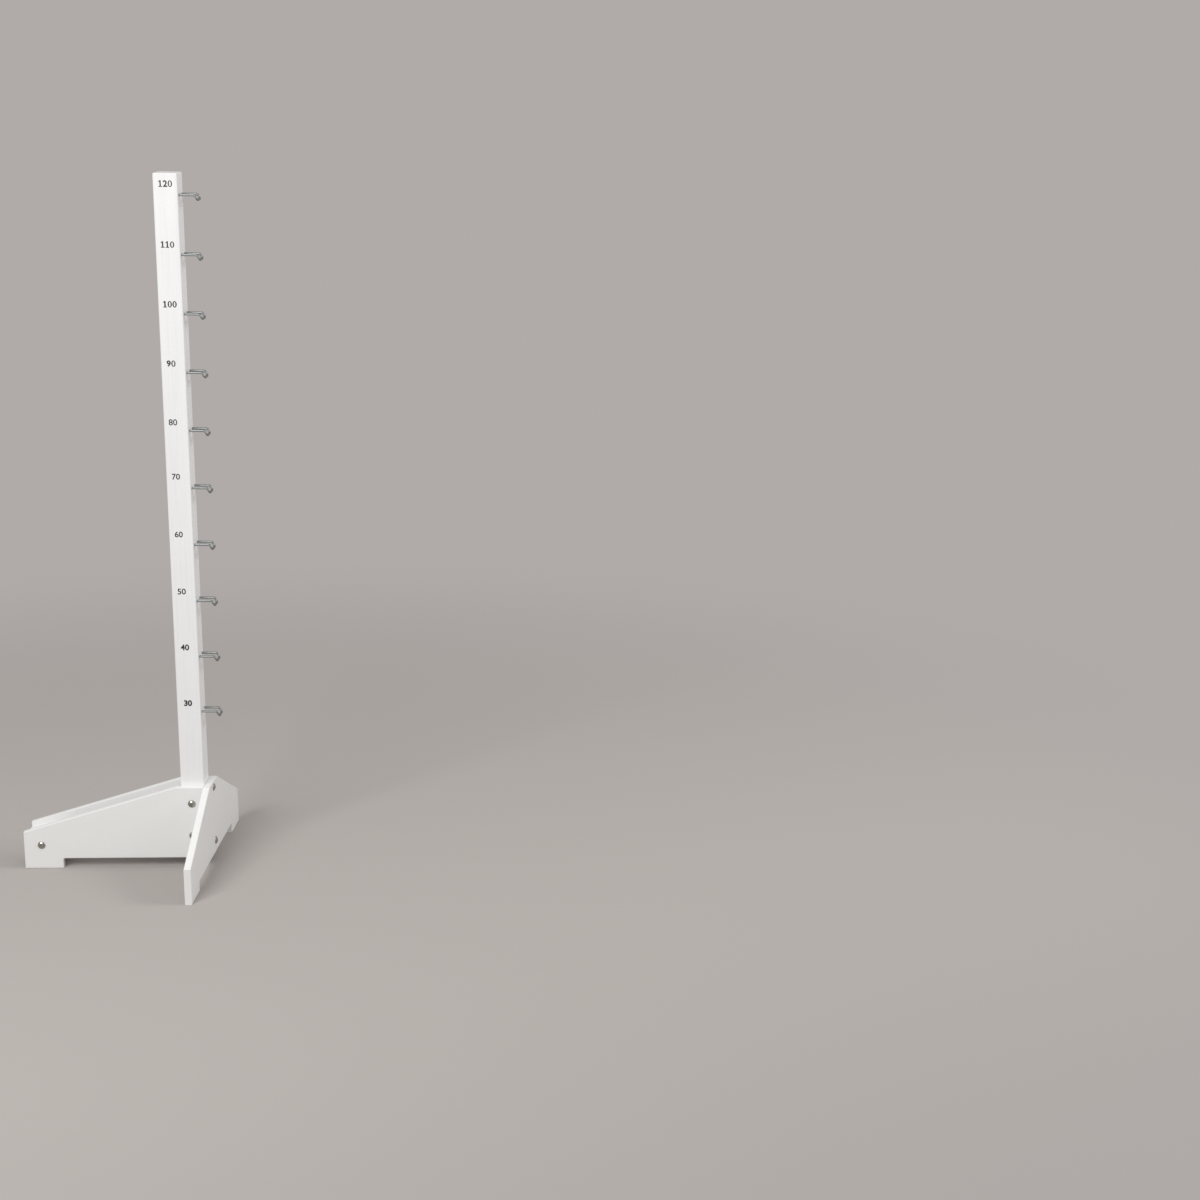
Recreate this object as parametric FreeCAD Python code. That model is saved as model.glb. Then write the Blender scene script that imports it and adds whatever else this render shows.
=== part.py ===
import FreeCAD, Part
import math
import os

# A show jump wing of hobby horse size: an upright post that holds one end of a pole, on a foot of
# three painted boards. Millimetres, +Z up, +X from the post towards the pole, +Y to the rear.
# The origin is on the ground, straight below the centre line of the post.

Vector = FreeCAD.Vector
X_DIRECTION = Vector(1, 0, 0)
Y_DIRECTION = Vector(0, 1, 0)
Z_DIRECTION = Vector(0, 0, 1)

# Distance under which two places count as the same
SAME_PLACE = 0.01

# Post, planed timber
POST_WIDTH = 40.0
POST_DEPTH = 45.0
POST_LENGTH = 1200.0
POST_EDGE_RADIUS = 2.5
POST_TOP_CHAMFER = 1.5

# Boards of the foot, all cut from one thickness
BOARD_THICKNESS = 12.0
BOARD_HEIGHT = 148.0
BOARD_EDGE_CHAMFER = 1.0
RECESS_HEIGHT = 18.0
RECESS_CORNER_RADIUS = 3.0

# Foot boards, one in front of the post and one behind it, running away from the pole
FOOT_BOARD_REACH = 292.0
FOOT_BOARD_END_HEIGHT = 67.0
FOOT_BOARD_PAD = 66.0
FOOT_BOARD_SHOULDER = 7.0

# Cross board, on the face of the post that looks at the pole
CROSS_BOARD_LENGTH = 452.0
CROSS_BOARD_END_HEIGHT = 63.0
CROSS_BOARD_PAD = 70.0

# Spacer between the outer ends of the foot boards, an offcut of the post laid down
SPACER_TOP_DROP = 9.0

# Height marks, and the pole that the hooks are made for
LOWEST_MARK = 300.0
MARK_STEP = 100.0
LEAST_POST_ABOVE_MARK = 10.0
POLE_DIAMETER = 24.0

# Hooks, each one piece of bent wire with both ends driven into the post.
# The round of the wire is drawn with flats, and its bends with short straight chords,
# none of which turns the wire by more degrees than the size named here.
WIRE_DIAMETER = 4.0
WIRE_FLATS = 10
TURN_OF_CHORD = 33.0
HOOK_LEG_SPACING = 25.0
HOOK_REACH = 30.0
HOOK_BITE = 25.0
HOOK_HOLE_SPARE = 1.0
HOOK_DIP_CLEARANCE = 0.3
HOOK_DIP_ANGLE = 65.0
HOOK_BEND_RADIUS = 4.5

# Bolts, all of one thread size, with domed heads whose curve is drawn with short straight chords
THREAD_DIAMETER = 6.0
BOLT_HOLE_CLEARANCE = 0.25
HEAD_DIAMETER = 13.5
HEAD_HEIGHT = 3.6
HEAD_RIM = 0.8
DOME_CHORDS = 2
SOCKET_SIDES = 6
SOCKET_ACROSS_FLATS = 4.0
SOCKET_DEPTH = 2.2
BOLT_END_STAND = 2.5

# Places of the bolts, from the edges of the boards that they hold
LOWER_POST_BOLT_RISE = 41.0
UPPER_POST_BOLT_DROP = 30.0
LOWER_CROSS_BOLT_RISE = 21.0
UPPER_CROSS_BOLT_DROP = 10.0
SPACER_BOLT_INSET = 30.0
SPACER_BOLT_RISE = 25.0

# Drive-in nuts, with a flange on the face of the wood and four prongs that bite into it
NUT_FLANGE_DIAMETER = 19.0
NUT_FLANGE_THICKNESS = 1.4
NUT_BARREL_DIAMETER = 7.8
NUT_BARREL_LENGTH = 9.0
PRONG_COUNT = 4
PRONG_NOTCH_WIDTH = 5.0
PRONG_NOTCH_DEPTH = 3.6
PRONG_LENGTH = 6.5

# Places that follow from the sizes above
INNER_FACE = POST_WIDTH / 2
OUTER_FACE = -POST_WIDTH / 2
POST_FRONT = -POST_DEPTH / 2
POST_BACK = POST_DEPTH / 2
BOARD_BACK = POST_BACK + BOARD_THICKNESS
BOARD_FRONT = POST_FRONT - BOARD_THICKNESS
FOOT_BOARD_END = -FOOT_BOARD_REACH
POST_TOP = RECESS_HEIGHT + POST_LENGTH
BOLT_HOLE_RADIUS = THREAD_DIAMETER / 2 + BOLT_HOLE_CLEARANCE
POST_BOLT_HEIGHTS = (RECESS_HEIGHT + LOWER_POST_BOLT_RISE, BOARD_HEIGHT - UPPER_POST_BOLT_DROP)
CROSS_BOLT_HEIGHTS = (RECESS_HEIGHT + LOWER_CROSS_BOLT_RISE, BOARD_HEIGHT - UPPER_CROSS_BOLT_DROP)
SPACER_BOLT_PLACE = FOOT_BOARD_END + SPACER_BOLT_INSET
SPACER_BOLT_HEIGHT = RECESS_HEIGHT + SPACER_BOLT_RISE


def eased_board(profile, base, thickness):
    """Cut a board from its outline and take the sharp edges off both faces."""
    board = Part.Face(profile).extrude(thickness)
    direction = Vector(thickness).normalize()
    low = base
    high = base + thickness.Length
    face_edges = []
    for edge in board.Edges:
        places = [vertex.Point.dot(direction) for vertex in edge.Vertexes]
        on_low = all(abs(place - low) < SAME_PLACE for place in places)
        on_high = all(abs(place - high) < SAME_PLACE for place in places)
        if on_low or on_high:
            face_edges.append(edge)
    return board.makeChamfer(BOARD_EDGE_CHAMFER, face_edges)


def bolt_hole(point, direction, length):
    """Clearance hole of a bolt, from a point along a direction."""
    return Part.makeCylinder(BOLT_HOLE_RADIUS, length, point, direction)


def mark_heights():
    """Heights of the marks: they go on up the post for as long as there is room."""
    room = POST_TOP - LEAST_POST_ABOVE_MARK - LOWEST_MARK
    count = int(room // MARK_STEP) + 1
    return [LOWEST_MARK + index * MARK_STEP for index in range(count)]


def pole_rise():
    """Height of a resting pole's centre line over the legs that it touches."""
    contact = (POLE_DIAMETER + WIRE_DIAMETER) / 2
    return math.sqrt(contact**2 - (HOOK_LEG_SPACING / 2) ** 2)


def hook_height(mark):
    """Height of the legs that brings the top of a resting pole level with the mark."""
    return mark - POLE_DIAMETER / 2 - pole_rise()


def hook_dip():
    """How far the closed end lies below the legs, to pass under the pole."""
    return POLE_DIAMETER / 2 - pole_rise() + WIRE_DIAMETER / 2 + HOOK_DIP_CLEARANCE


def arc_corner(before, corner, after, radius):
    """Start, centre and end of the arc that rounds a corner between three points."""
    towards_before = (before - corner).normalize()
    towards_after = (after - corner).normalize()
    half_angle = towards_before.getAngle(towards_after) / 2
    setback = radius / math.tan(half_angle)
    middle_line = (towards_before + towards_after).normalize()
    start = corner + towards_before * setback
    centre = corner + middle_line * (radius / math.sin(half_angle))
    end = corner + towards_after * setback
    return start, centre, end


def bend_points(before, corner, after):
    """Points along one bend of the wire, evenly spaced on its arc."""
    start, centre, end = arc_corner(before, corner, after, HOOK_BEND_RADIUS)
    spoke = start - centre
    turn = math.degrees(spoke.getAngle(end - centre))
    axis = spoke.cross(end - centre)
    chords = math.ceil(turn / TURN_OF_CHORD)
    points = []
    for index in range(chords + 1):
        rotation = FreeCAD.Rotation(axis, turn * index / chords)
        points.append(centre + rotation.multVec(spoke))
    return points


def wire_section(centre):
    """Outline across a leg of the wire."""
    points = []
    for index in range(WIRE_FLATS + 1):
        angle = 2 * math.pi * (index + 0.5) / WIRE_FLATS
        spoke = Vector(0, math.cos(angle), math.sin(angle))
        points.append(centre + spoke * (WIRE_DIAMETER / 2))
    return Part.makePolygon(points)


def pole_hook(height):
    """Wire bent to a long U, its closed end dipped so that the pole lies on the two legs."""
    root = INNER_FACE - HOOK_BITE
    half = HOOK_LEG_SPACING / 2
    tip = INNER_FACE + HOOK_REACH
    low = height - hook_dip()
    knee = tip - hook_dip() / math.tan(math.radians(HOOK_DIP_ANGLE))
    corners = [
        Vector(root, -half, height),
        Vector(knee, -half, height),
        Vector(tip, -half, low),
        Vector(tip, half, low),
        Vector(knee, half, height),
        Vector(root, half, height),
    ]
    path = [corners[0]]
    for before, corner, after in zip(corners, corners[1:], corners[2:]):
        path.extend(bend_points(before, corner, after))
    path.append(corners[-1])
    mitred = 1
    return Part.makePolygon(path).makePipeShell([wire_section(path[0])], True, False, mitred)


def hook_holes():
    """Blind holes in the post that grip both legs of every hook all round."""
    depth = HOOK_BITE + HOOK_HOLE_SPARE
    holes = []
    for mark in mark_heights():
        for side in (-1, 1):
            bottom = Vector(INNER_FACE - depth, side * HOOK_LEG_SPACING / 2, hook_height(mark))
            holes.append(Part.Face(wire_section(bottom)).extrude(Vector(depth, 0, 0)))
    return holes


def dome_points():
    """Points down the dome of a bolt's head, from the flat round its socket to its rim."""
    dome_rise = HEAD_HEIGHT - HEAD_RIM
    head_radius = HEAD_DIAMETER / 2
    dome_radius = (head_radius**2 + dome_rise**2) / (2 * dome_rise)
    flat_angle = math.asin(socket_corner_radius() / dome_radius)
    rim_angle = math.asin(head_radius / dome_radius)
    points = []
    for index in range(DOME_CHORDS + 1):
        angle = flat_angle + (rim_angle - flat_angle) * index / DOME_CHORDS
        fall = dome_radius * (1 - math.cos(angle))
        points.append(Vector(dome_radius * math.sin(angle), 0, fall - HEAD_HEIGHT))
    return points


def socket_corner_radius():
    """Distance of a corner of the hexagon socket from the bolt's centre line."""
    return SOCKET_ACROSS_FLATS / 2 / math.cos(math.pi / SOCKET_SIDES)


def hexagon_socket():
    """Space that the key goes into, down from the top of the head."""
    corners = []
    for index in range(SOCKET_SIDES + 1):
        angle = 2 * math.pi * index / SOCKET_SIDES
        spoke = Vector(math.cos(angle), math.sin(angle), 0)
        corners.append(spoke * socket_corner_radius() - Z_DIRECTION * HEAD_HEIGHT)
    return Part.Face(Part.makePolygon(corners)).extrude(Z_DIRECTION * SOCKET_DEPTH)


def domed_bolt(head_face, direction, grip):
    """Bolt with a domed socket head; it grips from the head's face and ends past the nut."""
    length = grip + NUT_FLANGE_THICKNESS + BOLT_END_STAND
    head_radius = HEAD_DIAMETER / 2
    thread_radius = THREAD_DIAMETER / 2
    dome = dome_points()
    crown = Vector(0, 0, dome[0].z)
    outline = [crown] + dome
    outline.append(Vector(head_radius, 0, 0))
    outline.append(Vector(thread_radius, 0, 0))
    outline.append(Vector(thread_radius, 0, length))
    outline.append(Vector(0, 0, length))
    outline.append(crown)
    full_turn = 360
    bolt = Part.Face(Part.makePolygon(outline)).revolve(Vector(0, 0, 0), Z_DIRECTION, full_turn)
    bolt = bolt.cut(hexagon_socket())
    bolt.Placement = FreeCAD.Placement(head_face, FreeCAD.Rotation(Z_DIRECTION, direction))
    return bolt


def drive_in_nut(face_point, direction):
    """Nut whose flange lies on the wood at a point and whose barrel and prongs go inwards."""
    flange_radius = NUT_FLANGE_DIAMETER / 2
    notch_floor = flange_radius - PRONG_NOTCH_DEPTH
    nut = Part.makeCylinder(flange_radius, NUT_FLANGE_THICKNESS, Vector(0, 0, -NUT_FLANGE_THICKNESS))
    nut = nut.fuse(Part.makeCylinder(NUT_BARREL_DIAMETER / 2, NUT_BARREL_LENGTH))
    for index in range(PRONG_COUNT):
        turn = (index + 0.5) * 360 / PRONG_COUNT
        notch = Part.makeBox(
            PRONG_NOTCH_DEPTH * 2,
            PRONG_NOTCH_WIDTH,
            NUT_FLANGE_THICKNESS,
            Vector(notch_floor, -PRONG_NOTCH_WIDTH / 2, -NUT_FLANGE_THICKNESS),
        )
        notch.rotate(Vector(0, 0, 0), Z_DIRECTION, turn)
        nut = nut.cut(notch)
        prong_outline = Part.makePolygon(
            [
                Vector(notch_floor, -PRONG_NOTCH_WIDTH / 2, -NUT_FLANGE_THICKNESS),
                Vector(notch_floor, PRONG_NOTCH_WIDTH / 2, -NUT_FLANGE_THICKNESS),
                Vector(notch_floor, PRONG_NOTCH_WIDTH / 2, 0),
                Vector(notch_floor, 0, PRONG_LENGTH),
                Vector(notch_floor, -PRONG_NOTCH_WIDTH / 2, 0),
                Vector(notch_floor, -PRONG_NOTCH_WIDTH / 2, -NUT_FLANGE_THICKNESS),
            ]
        )
        prong = Part.Face(prong_outline).extrude(Vector(-NUT_FLANGE_THICKNESS, 0, 0))
        prong.rotate(Vector(0, 0, 0), Z_DIRECTION, turn)
        nut = nut.fuse(prong)
    bore_start = Vector(0, 0, -NUT_FLANGE_THICKNESS)
    bore_length = NUT_FLANGE_THICKNESS + NUT_BARREL_LENGTH
    nut = nut.cut(Part.makeCylinder(THREAD_DIAMETER / 2, bore_length, bore_start))
    nut = nut.removeSplitter()
    nut.Placement = FreeCAD.Placement(face_point, FreeCAD.Rotation(Z_DIRECTION, direction))
    return nut


def foot_bolt_points():
    """Centres of the bolts through both foot boards: one in the spacer, the others in the post."""
    points = [Vector(SPACER_BOLT_PLACE, 0, SPACER_BOLT_HEIGHT)]
    for height in POST_BOLT_HEIGHTS:
        points.append(Vector(0, 0, height))
    return points


def cross_bolt_points():
    """Centres of the bolts through the cross board, on the centre line of the post."""
    return [Vector(0, 0, height) for height in CROSS_BOLT_HEIGHTS]


def foot_board_nuts():
    """Nuts on the rear face of the rear foot board."""
    offset = Vector(0, BOARD_BACK, 0)
    return [drive_in_nut(point + offset, -Y_DIRECTION) for point in foot_bolt_points()]


def cross_board_nuts():
    """Nuts on the outer face of the post, between the foot boards."""
    offset = Vector(OUTER_FACE, 0, 0)
    return [drive_in_nut(point + offset, X_DIRECTION) for point in cross_bolt_points()]


def foot_board_bolts():
    """Bolts from the front foot board to the nuts of the rear one."""
    offset = Vector(0, BOARD_FRONT, 0)
    grip = BOARD_BACK - BOARD_FRONT
    return [domed_bolt(point + offset, Y_DIRECTION, grip) for point in foot_bolt_points()]


def cross_board_bolts():
    """Bolts from the cross board through the post."""
    offset = Vector(INNER_FACE + BOARD_THICKNESS, 0, 0)
    grip = POST_WIDTH + BOARD_THICKNESS
    return [domed_bolt(point + offset, -X_DIRECTION, grip) for point in cross_bolt_points()]


def edges_along(body, direction):
    """Straight edges of a block that run in a direction."""
    found = []
    for edge in body.Edges:
        sideways = edge.tangentAt(edge.FirstParameter).cross(direction)
        if sideways.Length < SAME_PLACE:
            found.append(edge)
    return found


def post():
    """Upright with rounded long edges, drilled for the hooks and the bolts."""
    body = Part.makeBox(
        POST_WIDTH, POST_DEPTH, POST_LENGTH, Vector(OUTER_FACE, POST_FRONT, RECESS_HEIGHT)
    )
    body = body.makeFillet(POST_EDGE_RADIUS, edges_along(body, Z_DIRECTION))
    top_edges = []
    for edge in body.Edges:
        if abs(edge.BoundBox.ZMin - POST_TOP) < SAME_PLACE:
            top_edges.append(edge)
    body = body.makeChamfer(POST_TOP_CHAMFER, top_edges)
    holes = hook_holes()
    for height in POST_BOLT_HEIGHTS:
        holes.append(bolt_hole(Vector(0, POST_FRONT, height), Y_DIRECTION, POST_DEPTH))
    for height in CROSS_BOLT_HEIGHTS:
        holes.append(bolt_hole(Vector(OUTER_FACE, 0, height), X_DIRECTION, POST_WIDTH))
    return body.cut(Part.makeCompound(holes)).cut(Part.makeCompound(cross_board_nuts()))


def rounded_profile(points, rounded, radius):
    """Closed outline through points, with the corners that are named by index rounded."""
    edges = []
    count = len(points)
    starts = {}
    ends = {}
    for index in rounded:
        before = points[index - 1]
        after = points[(index + 1) % count]
        start, centre, end = arc_corner(before, points[index], after, radius)
        middle = centre + (points[index] - centre).normalize() * radius
        starts[index] = start
        ends[index] = end
        edges.append(Part.Arc(start, middle, end).toShape())
    for index in range(count):
        following = (index + 1) % count
        line_start = ends.get(index, points[index])
        line_end = starts.get(following, points[following])
        edges.append(Part.LineSegment(line_start, line_end).toShape())
    return Part.Wire(Part.__sortEdges__(edges))


def foot_board(front):
    """Board that runs out from the post, level at the post and sloping down to its outer end."""
    slope_top = OUTER_FACE - FOOT_BOARD_SHOULDER
    pad_end = FOOT_BOARD_END + FOOT_BOARD_PAD
    points = [
        Vector(FOOT_BOARD_END, front, 0),
        Vector(pad_end, front, 0),
        Vector(pad_end, front, RECESS_HEIGHT),
        Vector(INNER_FACE, front, RECESS_HEIGHT),
        Vector(INNER_FACE, front, BOARD_HEIGHT),
        Vector(slope_top, front, BOARD_HEIGHT),
        Vector(FOOT_BOARD_END, front, FOOT_BOARD_END_HEIGHT),
    ]
    profile = rounded_profile(points, [2], RECESS_CORNER_RADIUS)
    board = eased_board(profile, front, Vector(0, BOARD_THICKNESS, 0))
    holes = []
    for point in foot_bolt_points():
        holes.append(bolt_hole(Vector(point.x, front, point.z), Y_DIRECTION, BOARD_THICKNESS))
    return board.cut(Part.makeCompound(holes))


def front_foot_board():
    """Foot board that the heads of the bolts bear on."""
    return foot_board(BOARD_FRONT)


def rear_foot_board():
    """Foot board that the nuts are driven into."""
    return foot_board(POST_BACK).cut(Part.makeCompound(foot_board_nuts()))


def cross_board():
    """Board across the face of the post, level over the foot boards and sloping to both ends."""
    half = CROSS_BOARD_LENGTH / 2
    pad_end = half - CROSS_BOARD_PAD
    points = [
        Vector(INNER_FACE, -half, 0),
        Vector(INNER_FACE, -pad_end, 0),
        Vector(INNER_FACE, -pad_end, RECESS_HEIGHT),
        Vector(INNER_FACE, pad_end, RECESS_HEIGHT),
        Vector(INNER_FACE, pad_end, 0),
        Vector(INNER_FACE, half, 0),
        Vector(INNER_FACE, half, CROSS_BOARD_END_HEIGHT),
        Vector(INNER_FACE, BOARD_BACK, BOARD_HEIGHT),
        Vector(INNER_FACE, BOARD_FRONT, BOARD_HEIGHT),
        Vector(INNER_FACE, -half, CROSS_BOARD_END_HEIGHT),
    ]
    profile = rounded_profile(points, [2, 3], RECESS_CORNER_RADIUS)
    board = eased_board(profile, INNER_FACE, Vector(BOARD_THICKNESS, 0, 0))
    holes = []
    for point in cross_bolt_points():
        holes.append(bolt_hole(Vector(INNER_FACE, 0, point.z), X_DIRECTION, BOARD_THICKNESS))
    return board.cut(Part.makeCompound(holes))


def end_spacer():
    """Block that keeps the outer ends of the foot boards as far apart as the post does."""
    height = FOOT_BOARD_END_HEIGHT - SPACER_TOP_DROP - RECESS_HEIGHT
    body = Part.makeBox(
        FOOT_BOARD_PAD, POST_DEPTH, height, Vector(FOOT_BOARD_END, POST_FRONT, RECESS_HEIGHT)
    )
    body = body.makeFillet(POST_EDGE_RADIUS, edges_along(body, X_DIRECTION))
    start = Vector(SPACER_BOLT_PLACE, POST_FRONT, SPACER_BOLT_HEIGHT)
    return body.cut(bolt_hole(start, Y_DIRECTION, POST_DEPTH))


def export(name, shape):
    """Write the solids of one node."""
    shape.exportStep(os.path.join("parts", name + ".step"))


os.makedirs("parts", exist_ok=True)
export("post", post())
export("front_foot_board", front_foot_board())
export("rear_foot_board", rear_foot_board())
export("cross_board", cross_board())
export("end_spacer", end_spacer())
for mark in mark_heights():
    centimetres = round(mark / 10)
    export(f"pole_hook_{centimetres:03d}", pole_hook(hook_height(mark)))
export("foot_board_bolts", Part.makeCompound(foot_board_bolts()))
export("cross_board_bolts", Part.makeCompound(cross_board_bolts()))
export("foot_board_nuts", Part.makeCompound(foot_board_nuts()))
export("cross_board_nuts", Part.makeCompound(cross_board_nuts()))
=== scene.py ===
import math

import bpy
from mathutils import Matrix, Vector


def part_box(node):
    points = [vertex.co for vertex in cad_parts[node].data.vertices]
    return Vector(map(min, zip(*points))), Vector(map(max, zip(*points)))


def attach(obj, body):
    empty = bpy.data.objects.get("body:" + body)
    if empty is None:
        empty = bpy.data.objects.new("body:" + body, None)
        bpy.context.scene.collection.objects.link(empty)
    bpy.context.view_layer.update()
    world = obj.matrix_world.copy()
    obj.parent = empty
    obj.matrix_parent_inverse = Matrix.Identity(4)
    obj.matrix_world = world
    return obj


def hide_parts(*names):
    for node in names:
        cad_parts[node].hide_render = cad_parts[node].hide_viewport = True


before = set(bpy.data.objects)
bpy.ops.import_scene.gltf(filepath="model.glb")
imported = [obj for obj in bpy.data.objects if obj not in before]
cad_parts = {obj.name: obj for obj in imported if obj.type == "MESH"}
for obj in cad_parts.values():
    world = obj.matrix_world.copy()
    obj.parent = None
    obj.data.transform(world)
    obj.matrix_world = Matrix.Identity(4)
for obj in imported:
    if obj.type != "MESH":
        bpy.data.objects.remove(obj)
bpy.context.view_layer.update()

MM = 0.001

# Post. A planed length of pine with rounded long edges, sanded, primed and brushed with white
# satin enamel. It stands in the channel between the foot boards and carries the hooks.
POST_WHITE = "#F4F4F5"
POST_WARM_WHITE = "#EDECEB"
POST_ROUGHNESS = (0.36, 0.5)
GRAIN_SHADE = "#DEDCD7"
UNSHADED = "#FFFFFF"
GRAIN_SHADE_SHARE = 0.13
GRAIN_SHADED_BELOW = 0.36
GRAIN_CLEAR_ABOVE = 0.56
GRAIN_WIDTH = 3.0 * MM
GRAIN_LENGTH = 160.0 * MM
GRAIN_DEPTH = 0.15 * MM
BRUSH_MARK_WIDTH = 1.6 * MM
BRUSH_MARK_LENGTH = 45.0 * MM
BRUSH_MARK_DEPTH = 0.08 * MM
CLOUD_SIZE = 90.0 * MM
ENAMEL_IOR = 1.5
# Nearly all that a noise pattern gives lies between these two values
NOISE_LOW = 0.3
NOISE_HIGH = 0.7


def linear(colour):
    """Linear red, green, blue and alpha of an sRGB hex colour."""
    channels = []
    for start in (1, 3, 5):
        value = int(colour[start:start + 2], 16) / 255
        if value <= 0.04045:
            channels.append(value / 12.92)
        else:
            channels.append(((value + 0.055) / 1.055) ** 2.4)
    return (*channels, 1.0)


def add_node(owner, kind, settings, inputs):
    """Add a node to a material or world. An input given as a socket is linked, any other set."""
    node = owner.node_tree.nodes.new(kind)
    for name, value in settings.items():
        setattr(node, name, value)
    for name, value in inputs.items():
        if isinstance(value, bpy.types.NodeSocket):
            owner.node_tree.links.new(value, node.inputs[name])
        else:
            node.inputs[name].default_value = value
    return node


def new_material(name):
    """An empty material and the Object coordinates that its patterns read."""
    material = bpy.data.materials.new(name)
    material.use_nodes = True
    material.node_tree.nodes.clear()
    place = add_node(material, "ShaderNodeTexCoord", {}, {}).outputs["Object"]
    return material, place


def stretched(material, place, size):
    """Coordinates scaled so that one unit of a pattern has the given size along each axis."""
    scale = tuple(1 / length for length in size)
    mapping = add_node(
        material, "ShaderNodeMapping", {"vector_type": "POINT"}, {"Vector": place, "Scale": scale}
    )
    return mapping.outputs["Vector"]


# Satin enamel brushed on planed pine: an even soft white with a slow drift to a warmer white, long
# faint lines up the post where the grain shows through, and finer brush marks that break up the
# gloss. Grain and brush marks are drawn two to three times as coarse as they are so that they show.
timber_paint, place = new_material("satin_enamel_on_planed_pine")
clouds = add_node(
    timber_paint, "ShaderNodeTexNoise", {},
    {"Vector": stretched(timber_paint, place, (CLOUD_SIZE, CLOUD_SIZE, CLOUD_SIZE)),
     "Scale": 1.0, "Detail": 3.0, "Roughness": 0.55},
)
grain = add_node(
    timber_paint, "ShaderNodeTexNoise", {},
    {"Vector": stretched(timber_paint, place, (GRAIN_WIDTH, GRAIN_WIDTH, GRAIN_LENGTH)),
     "Scale": 1.0, "Detail": 4.0, "Roughness": 0.6, "Distortion": 0.3},
)
brush_marks = add_node(
    timber_paint, "ShaderNodeTexNoise", {},
    {"Vector": stretched(
        timber_paint, place, (BRUSH_MARK_WIDTH, BRUSH_MARK_WIDTH, BRUSH_MARK_LENGTH)),
     "Scale": 1.0, "Detail": 2.0, "Roughness": 0.5},
)
grain_lines = add_node(
    timber_paint, "ShaderNodeValToRGB", {}, {"Fac": grain.outputs["Fac"]}
)
shaded, clear = grain_lines.color_ramp.elements
shaded.position = GRAIN_SHADED_BELOW
shaded.color = linear(GRAIN_SHADE)
clear.position = GRAIN_CLEAR_ABOVE
clear.color = linear(UNSHADED)
whites = add_node(
    timber_paint, "ShaderNodeMix", {"data_type": "RGBA"},
    {0: clouds.outputs["Fac"], 6: linear(POST_WHITE), 7: linear(POST_WARM_WHITE)},
)
grained_white = add_node(
    timber_paint, "ShaderNodeMix", {"data_type": "RGBA", "blend_type": "MULTIPLY"},
    {0: GRAIN_SHADE_SHARE, 6: whites.outputs[2], 7: grain_lines.outputs["Color"]},
)
gloss = add_node(
    timber_paint, "ShaderNodeMapRange", {},
    {"Value": brush_marks.outputs["Fac"], "From Min": NOISE_LOW, "From Max": NOISE_HIGH,
     "To Min": POST_ROUGHNESS[0], "To Max": POST_ROUGHNESS[1]},
)
grain_relief = add_node(
    timber_paint, "ShaderNodeBump", {},
    {"Height": grain.outputs["Fac"], "Strength": 0.5, "Distance": GRAIN_DEPTH},
)
brush_relief = add_node(
    timber_paint, "ShaderNodeBump", {},
    {"Height": brush_marks.outputs["Fac"], "Strength": 0.4, "Distance": BRUSH_MARK_DEPTH,
     "Normal": grain_relief.outputs["Normal"]},
)
enamel = add_node(
    timber_paint, "ShaderNodeBsdfPrincipled", {},
    {"Base Color": grained_white.outputs[2], "Roughness": gloss.outputs["Result"],
     "IOR": ENAMEL_IOR, "Normal": brush_relief.outputs["Normal"]},
)
add_node(timber_paint, "ShaderNodeOutputMaterial", {}, {"Surface": enamel.outputs["BSDF"]})
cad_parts["post"].data.materials[0] = timber_paint

# End spacer. An offcut of the post laid on its side between the outer ends of the foot boards, so
# that they stand as far apart there as at the post. It has the same coat of enamel.
spacer_paint = timber_paint.copy()
spacer_paint.name = "satin_enamel_on_laid_pine"
for node in spacer_paint.node_tree.nodes:
    if node.type == "MAPPING":
        width, _, length = node.inputs["Scale"].default_value
        node.inputs["Scale"].default_value = (length, width, width)
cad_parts["end_spacer"].data.materials[0] = spacer_paint

# Boards of the foot. Front and rear foot board and cross board are sawn from one 12 mm board with
# a smooth face, their arrises eased with sandpaper, and rolled with the same white satin enamel.
BOARD_NODES = ("front_foot_board", "rear_foot_board", "cross_board")
BOARD_WHITE = "#F3F3F2"
BOARD_WARM_WHITE = "#EBEAE8"
BOARD_ROUGHNESS = (0.34, 0.44)
STIPPLE_SIZE = 1.4 * MM
STIPPLE_DEPTH = 0.06 * MM

# Satin enamel rolled on a smooth board: a clean soft white with the fine stipple that a foam
# roller leaves, too fine to see from afar, so it only softens the highlights.
board_paint, place = new_material("satin_enamel_rolled_on_board")
clouds = add_node(
    board_paint, "ShaderNodeTexNoise", {},
    {"Vector": stretched(board_paint, place, (CLOUD_SIZE, CLOUD_SIZE, CLOUD_SIZE)),
     "Scale": 1.0, "Detail": 4.0, "Roughness": 0.6},
)
stipple = add_node(
    board_paint, "ShaderNodeTexNoise", {},
    {"Vector": stretched(board_paint, place, (STIPPLE_SIZE, STIPPLE_SIZE, STIPPLE_SIZE)),
     "Scale": 1.0, "Detail": 2.0, "Roughness": 0.5},
)
whites = add_node(
    board_paint, "ShaderNodeMix", {"data_type": "RGBA"},
    {0: clouds.outputs["Fac"], 6: linear(BOARD_WHITE), 7: linear(BOARD_WARM_WHITE)},
)
gloss = add_node(
    board_paint, "ShaderNodeMapRange", {},
    {"Value": clouds.outputs["Fac"], "From Min": NOISE_LOW, "From Max": NOISE_HIGH,
     "To Min": BOARD_ROUGHNESS[0], "To Max": BOARD_ROUGHNESS[1]},
)
stipple_relief = add_node(
    board_paint, "ShaderNodeBump", {},
    {"Height": stipple.outputs["Fac"], "Strength": 0.4, "Distance": STIPPLE_DEPTH},
)
enamel = add_node(
    board_paint, "ShaderNodeBsdfPrincipled", {},
    {"Base Color": whites.outputs[2], "Roughness": gloss.outputs["Result"],
     "IOR": ENAMEL_IOR, "Normal": stipple_relief.outputs["Normal"]},
)
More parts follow.
